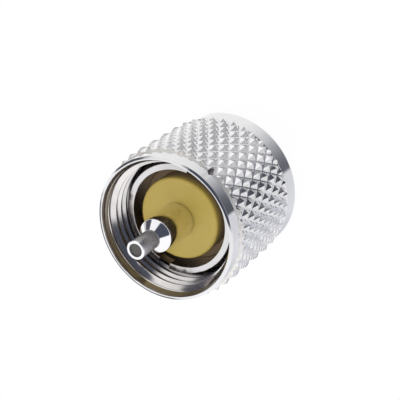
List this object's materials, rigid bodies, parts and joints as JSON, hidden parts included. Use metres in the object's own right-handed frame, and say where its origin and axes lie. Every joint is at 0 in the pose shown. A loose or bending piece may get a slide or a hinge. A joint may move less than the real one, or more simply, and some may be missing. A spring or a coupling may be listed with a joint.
{
  "type": "uhf connector",
  "caption": "Coaxial cable plug with a spinning diamond-knurled coupling nut, a slotted outer sleeve, a plastic insulator and a stepped centre contact.",
  "frame": {"origin": "centre of the rear end face, which the part stands on", "axes": "+Z along the plug's axis, towards the mating end; +X through the sleeve's slots"},
  "size_m": [0.0182, 0.0182, 0.0258],
  "materials": {
    "nickel_nut": "bright nickel plate",
    "nickel_shell": "turned nickel plate",
    "nickel_clamp": "satin nickel plate",
    "spring_steel": "plain spring steel",
    "contact_plating": "satin plate with a polished cone",
    "insulator": "matte yellow ochre",
    "rubber": "plain black",
    "brass": "turned"
  },
  "bodies": {
    "plug_body": {"shell": "nickel_shell", "retaining_ring": "spring_steel", "insulator": "insulator", "centre_contact": "contact_plating", "braid_clamp": "brass", "cable_gasket": "rubber", "clamp_washer": "brass", "clamp_nut": "nickel_clamp"},
    "coupling_nut": {"coupling_nut": "nickel_nut"}
  },
  "joints": [
    {"name": "nut_spin", "type": "hinge", "parent": "plug_body", "child": "coupling_nut", "pos_m": [0, 0, 0.0117], "axis": [0, 0, 1], "continuous": true}
  ]
}
